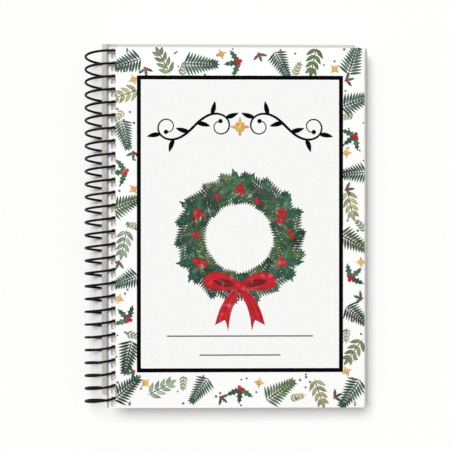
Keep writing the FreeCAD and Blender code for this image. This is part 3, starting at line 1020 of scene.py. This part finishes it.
def scroll(side):
    """Pen line with heading pi / 2 s^2 less an eighth of a turn, s from end to end, with balls at its ends
    and leaves that leave it at a slant; side -1 mirrors it."""
    s = np.linspace(-SCROLL_ENDS, SCROLL_ENDS, SCROLL_POINTS)
    heading = math.pi / 2 * s**2 - math.pi / 4
    step = 2 * SCROLL_ENDS / (SCROLL_POINTS - 1) * SCROLL_SIZE
    path = np.cumsum(np.stack([np.cos(heading), np.sin(heading)], -1), 0) * step
    path = (path - path[SCROLL_POINTS // 2]) * [side, 1]
    width = PEN_THIN + PEN_SWELL * np.cos(math.pi / 2 * s / SCROLL_ENDS) ** 2
    strokes = [line_stroke(path, width, PEN_BLACK)]
    for end in (0, -1):
        strokes += moved([disc_stroke(PEN_BALL, PEN_BLACK)], path[end])
    for root, slant in VINE_LEAVES:
        spot = np.searchsorted(s, root)
        ahead = math.copysign(1, root) * (path[spot + 1] - path[spot - 1])
        leaf = leaf_stroke(*VINE_LEAF, PEN_BLACK, bend=VINE_BEND * np.sign(slant) * side, rows=13)
        strokes += moved([leaf], path[spot], math.atan2(ahead[1], ahead[0]) + math.radians(slant) * side)
    return strokes


print("strokes in a scroll:", len(scroll(1)))

# %% [markdown]
# The scrolls stand to either side of a gold star, and below the wreath are two ruled lines to write on.
# Each could be a piece of its own, but a press lays all of its black in one pass, so lines and scrolls are
# one piece. The star has colour, so it is another.

# %% Scrolls, star and ruled lines
SCROLL_OFFSET = 23 * MM
SCROLL_ROW_PX = 127.0
STAR_RADIUS = 5 * MM
RULE_ROWS_PX = (336.0, 355.0)
RULE_HALVES = (36 * MM, 20 * MM)
RULE_LINE = 0.55 * MM


def ruled_line(middle, half, row, line):
    """A level line through a middle, half its length to either side."""
    return [line_stroke(np.array([[middle - half, row], [middle + half, row]]), line, PEN_BLACK)]


panel_middle = picture_middle[0]
scroll_row = along_at(SCROLL_ROW_PX)
pen_lines = [moved(scroll(side), (panel_middle + side * SCROLL_OFFSET, scroll_row)) for side in (-1, 1)]
for row, half in zip(RULE_ROWS_PX, RULE_HALVES):
    pen_lines.append(ruled_line(panel_middle, half, along_at(row), RULE_LINE))
lay_strokes("front_print_pen_lines", pen_lines, picture_height, black_ink)
panel_star = moved(star(STAR_RADIUS), (panel_middle, scroll_row))
lay_strokes("front_print_star", [panel_star], picture_height, watercolour)

# %% [markdown]
# Inside, each leaf has a pocket for one card: a strip of coloured paper, printed with scattered dots. Every
# dot could be a disc of ink, as the specks are, but seven pockets would need thousands. A Voronoi pattern
# gives them all at once: it is the distance to the nearest of many random points, so all that is closer to
# its point than a set distance is a dot, and a short ramp softens its edge.

# %% Pocket papers
POCKET_FIBRE = 0.6 * MM
POCKET_SHINE, POCKET_ROUGHNESS, POCKET_SPREAD = 0.25, 0.6, 0.1
GROUND_SHADE, DOT_SHADE = 0.2, 0.1
DOT_SPACING, DOT_RANDOMNESS = 5.5 * MM, 0.8
DOT_OUTSIDE, DOT_INSIDE = 0.2, 0.16
PAPER_GREEN = (0.02, 0.14, 0.085)
PAPER_RED = (0.40, 0.018, 0.026)
PAPER_CREAM = (0.74, 0.66, 0.48)
SNOW = (0.86, 0.85, 0.81)


def add_dots(tree):
    """1 in dots and 0 between them, from the distance to the nearest of some points, in spacings."""
    place = tree.nodes.new("ShaderNodeTexCoord")
    cells = tree.nodes.new("ShaderNodeTexVoronoi")
    cells.voronoi_dimensions = "2D"
    cells.inputs["Scale"].default_value = 1 / DOT_SPACING
    cells.inputs["Randomness"].default_value = DOT_RANDOMNESS
    edge = tree.nodes.new("ShaderNodeMapRange")
    edge.inputs["From Min"].default_value = DOT_OUTSIDE
    edge.inputs["From Max"].default_value = DOT_INSIDE
    tree.links.new(place.outputs["Object"], cells.inputs["Vector"])
    tree.links.new(cells.outputs["Distance"], edge.inputs["Value"])
    return edge.outputs["Result"]


def make_pocket_paper(name, ground, dots):
    """Coloured paper with a fine fibre, printed with scattered dots."""
    material, tree, shader = new_material(name)
    shader.inputs["Specular IOR Level"].default_value = POCKET_SHINE
    fibres = add_fibres(tree, POCKET_FIBRE)
    paper = add_shade(tree, ground, add_around(tree, fibres, 1, GROUND_SHADE))
    dot_ink = add_shade(tree, dots, add_around(tree, fibres, 1, DOT_SHADE))
    tone = add_mix(tree, add_dots(tree), paper, dot_ink)
    roughness = add_around(tree, fibres, POCKET_ROUGHNESS, POCKET_SPREAD)
    finish(tree, shader, tone, roughness, fibres, CARD_RELIEF)
    return material


pocket_papers = [
    make_pocket_paper("pocket_green", PAPER_GREEN, SNOW),
    make_pocket_paper("pocket_red", PAPER_RED, SNOW),
    make_pocket_paper("pocket_cream", PAPER_CREAM, RIBBON_RED),
]
for number in range(1, PAGES + 1):
    dress(f"pocket_panel_{number}", pocket_papers[number % len(pocket_papers)])
print("pockets:", PAGES, "in", len(pocket_papers), "papers")

# %% [markdown]
# A pocket's paper is held off the page by strips of white foam tape, which leave room for a card. Foam is a
# mass of bubbles, and its cut sides show them as small pits. The pits could be modelled, but they are a
# tenth of a millimetre across, so a fine noise does for them: it is the relief, and it makes the tone and
# the dull shine uneven too.

# %% Foam tape
BUBBLE = 0.15 * MM
BUBBLE_DEPTH = 0.05 * MM
FOAM_WHITE = (0.84, 0.84, 0.82)
FOAM_TONES, FOAM_ROUGHNESS = (0.85, 1.1), (0.8, 1.0)


def make_foam():
    """White foam: one noise of bubbles for its relief, its tone and its shine."""
    material, tree, shader = new_material("foam_tape")
    bubbles = add_noise(tree, BUBBLE, detail=3.0)
    tone = add_shade(tree, FOAM_WHITE, add_range(tree, bubbles, *FOAM_TONES))
    finish(tree, shader, tone, add_range(tree, bubbles, *FOAM_ROUGHNESS), bubbles, BUBBLE_DEPTH)
    return material


foam = make_foam()
for number in range(1, PAGES + 1):
    dress(f"pocket_tape_{number}", foam)
print("foam on", PAGES, "pages")

# %% [markdown]
# Each page is printed as well, with a double line round the whole. A picture of the line could be laid over
# the page, but rings of ink are sharper, and one function already makes them for the cover. Where the line
# goes is read from the page and its pocket, so it stays clear of the holes. The lines take the pockets'
# colours in turn.

# %% Lines round a page
PAGE_MARGIN = 6 * MM
PAGE_LINES = ((0.0, 0.9 * MM), (1.6 * MM, 0.35 * MM))

line_inks = [
    make_ink("green_ink", PAPER_GREEN),
    make_ink("red_ink", PAPER_RED),
    make_ink("gold_ink", (0.62, 0.40, 0.12)),
]


def page_corners(number):
    """Lowest and highest corner of a page's line: half a margin from its pocket and from its edges."""
    low, high = sheet_reach(f"page_{number}")
    pocket_low = sheet_reach(f"pocket_panel_{number}")[0]
    line_low = np.array([pocket_low[0] - PAGE_MARGIN / 2, low[1] + PAGE_MARGIN / 2])
    return line_low, high[:2] - PAGE_MARGIN / 2


print("line round page 1, mm:", np.round(np.subtract(*page_corners(1)[::-1]) / MM, 1))

# %% [markdown]
# Above its pocket a page has ruled lines for a name and a note, and a motif at its head: holly, a star or a
# spray of bay. New motifs could be drawn for these, but a book looks of a piece when its pages repeat the
# cover, so they are the border's own, only larger. Every page is laid by one function, from the page's own
# height.

# %% Printed pages
NOTE_LINES = 5
NOTE_STEP = 10 * MM
FIRST_NOTE = 1.2
NOTE_LINE = 0.3 * MM
HEAD_MOTIFS = [(holly, 12 * MM, math.pi / 2), (star, 8 * MM, 0), (bay_sprig, 32 * MM, 0)]

grey_ink = make_ink("grey_ink", (0.30, 0.30, 0.30))


def print_page(number):
    """Lays a page's lines, its notes and its motif a step above its upper face."""
    name, body, slot = f"page_{number}_print", f"leaf_{number}", "page_card"
    height = sheet_reach(f"page_{number}")[1][2] + INK_STEP
    low, high = page_corners(number)
    line_ink = line_inks[number % len(line_inks)]
    for order, (inset, line) in enumerate(PAGE_LINES):
        lay_ring(f"{name}_line_{order}", low + inset, high - inset, line, height, line_ink, body)
    pocket_low, pocket_high = sheet_reach(f"pocket_panel_{number}")
    middle = (low[0] + high[0]) / 2
    half = (pocket_high[0] - pocket_low[0]) / 2
    rows = pocket_high[1] + NOTE_STEP * (FIRST_NOTE + np.arange(NOTE_LINES))
    notes = [ruled_line(middle, half, row, NOTE_LINE) for row in rows]
    lay_strokes(f"{name}_notes", notes, height, grey_ink, body)
    grow, size, turn = HEAD_MOTIFS[number % len(HEAD_MOTIFS)]
    motif = moved(grow(size), (middle, (rows[-1] + high[1]) / 2), turn)
    lay_strokes(f"{name}_motif", [motif], height, watercolour, body)


for number in range(1, PAGES + 1):
    print_page(number)

# %% [markdown]
# The book lies on a plain white table. A white floor under soft light comes out a shade too grey beside
# white paper. More light would bleach the book, so only what is seen of the floor is lifted, by a little
# glow of its own. Light Path tells what is seen, straight on, in a shine or through glass, from the light
# that falls on the book. The floor stays a trifle below the back cover, so that the two never share a
# plane.

# %% Floor
FLOOR_HALF = 2.0
FLOOR_DROP = 0.05 * MM
FLOOR_WHITE = (0.9, 0.9, 0.9, 1)
FLOOR_LIFT = 0.05
WHITE = (1, 1, 1, 1)


def add_seen(tree):
    """1 for what is seen, straight on, mirrored or through glass, and 0 for light that falls."""
    path = tree.nodes.new("ShaderNodeLightPath")
    seen = path.outputs["Is Camera Ray"]
    for kind in ("Is Glossy Ray", "Is Transmission Ray"):
        larger = tree.nodes.new("ShaderNodeMath")
        larger.operation = "MAXIMUM"
        tree.links.new(seen, larger.inputs[0])
        tree.links.new(path.outputs[kind], larger.inputs[1])
        seen = larger.outputs["Value"]
    return seen


def make_floor_white():
    """A dull white that glows a little where it is seen."""
    material, tree, shader = new_material("floor_white")
    shader.inputs["Base Color"].default_value = FLOOR_WHITE
    shader.inputs["Roughness"].default_value = 1.0
    shader.inputs["Specular IOR Level"].default_value = 0.0
    shader.inputs["Emission Color"].default_value = WHITE
    tree.links.new(add_range(tree, add_seen(tree), 0, FLOOR_LIFT), shader.inputs["Emission Strength"])
    return material


floor_points = np.array([[-1, -1, 0], [1, -1, 0], [1, 1, 0], [-1, 1, 0]]) * FLOOR_HALF - [0, 0, FLOOR_DROP]
floor_mesh = bpy.data.meshes.new("floor")
floor_mesh.from_pydata(floor_points.tolist(), [], [[0, 1, 2, 3]])
floor_mesh.materials.append(make_floor_white())
floor = bpy.data.objects.new("floor", floor_mesh)
bpy.context.scene.collection.objects.link(floor)
print("floor:", 2 * FLOOR_HALF, "m wide")

# %% [markdown]
# Shadows beside the book are soft, short and faintly warm. Softness could come from a large lamp close by,
# but its light would fall off across the cover, while a sun lights all of it alike. So a wide soft sun
# stands high at the upper left, and a dim, slightly warm sky fills the shadows. Where the sky is seen, it
# is plain white.

# %% Sky and sun
SKY_LEVEL = 0.3
SKY_COLOUR = (1, 0.95, 0.915, 1)
SUN_TOWARDS = (-0.27, 0.42, 1.0)
SUN_SPREAD = math.radians(34)
SUN_POWER = 2.7
SUN_COLOUR = (0.98, 0.995, 1)

world = bpy.data.worlds.new("sky")
world.use_nodes = True
bpy.context.scene.world = world
tree = world.node_tree
background = tree.nodes["Background"]
seen = add_seen(tree)
tree.links.new(add_mix(tree, seen, SKY_COLOUR, WHITE), background.inputs["Color"])
tree.links.new(add_range(tree, seen, SKY_LEVEL, 1), background.inputs["Strength"])

sun_data = bpy.data.lights.new("sun", "SUN")
sun_data.angle = SUN_SPREAD
sun_data.energy = SUN_POWER
sun_data.color = SUN_COLOUR
sun = bpy.data.objects.new("sun", sun_data)
sun.location = SUN_TOWARDS
sun.rotation_euler = sun.location.to_track_quat("Z", "Y").to_euler()
bpy.context.scene.collection.objects.link(sun)
bpy.context.scene.view_settings.view_transform = "Standard"
print("sun of", SUN_POWER, "over a sky of", SKY_LEVEL)
